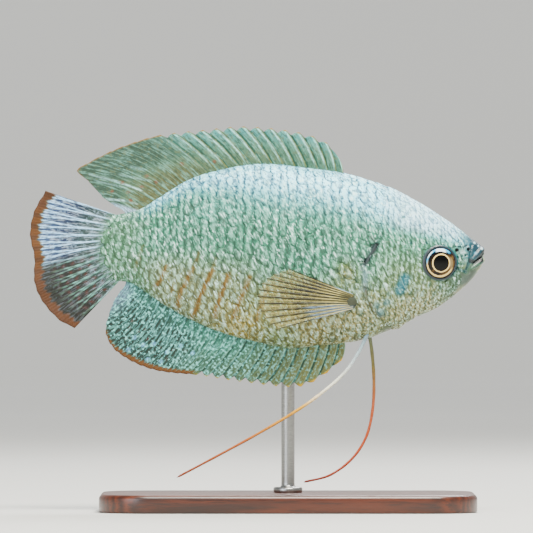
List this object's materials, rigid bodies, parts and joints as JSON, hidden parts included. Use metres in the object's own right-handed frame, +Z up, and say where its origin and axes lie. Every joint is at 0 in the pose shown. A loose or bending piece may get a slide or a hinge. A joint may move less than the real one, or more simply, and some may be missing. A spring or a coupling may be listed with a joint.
{
  "type": "dwarf gourami display model",
  "caption": "Life-size dwarf gourami, a deep-bodied aquarium fish with long fins and thread-like feelers, held still by a small display stand.",
  "frame": {"origin": "middle of the underside of the stand's base", "axes": "+X towards the snout, +Z up, the fish's right side faces -Y"},
  "size_m": [0.075, 0.034, 0.0634],
  "materials": {
    "skin": "pale blue-green scales with a satin, slightly pearly gloss",
    "fin": "thin turquoise fin membrane with rays, gold and rust-red margins",
    "feeler": "satin thread, white to gold to terracotta",
    "eye": "clear glossy cornea over a dark, gold-ringed iris",
    "stand_wood": "dark stained wood, satin varnish",
    "stand_steel": "fine brushed steel rod"
  },
  "bodies": {
    "root": {"head": "skin", "trunk": "skin", "tail_stem": "skin", "dorsal_fin": "fin", "anal_fin": "fin", "caudal_fin": "fin", "pectoral_fin_right": "fin", "pectoral_fin_left": "fin", "pelvic_feeler_right": "feeler", "pelvic_feeler_left": "feeler", "eye_right": "eye", "eye_left": "eye", "stand_rod": "stand_steel", "stand_base": "stand_wood"}
  },
  "joints": []
}
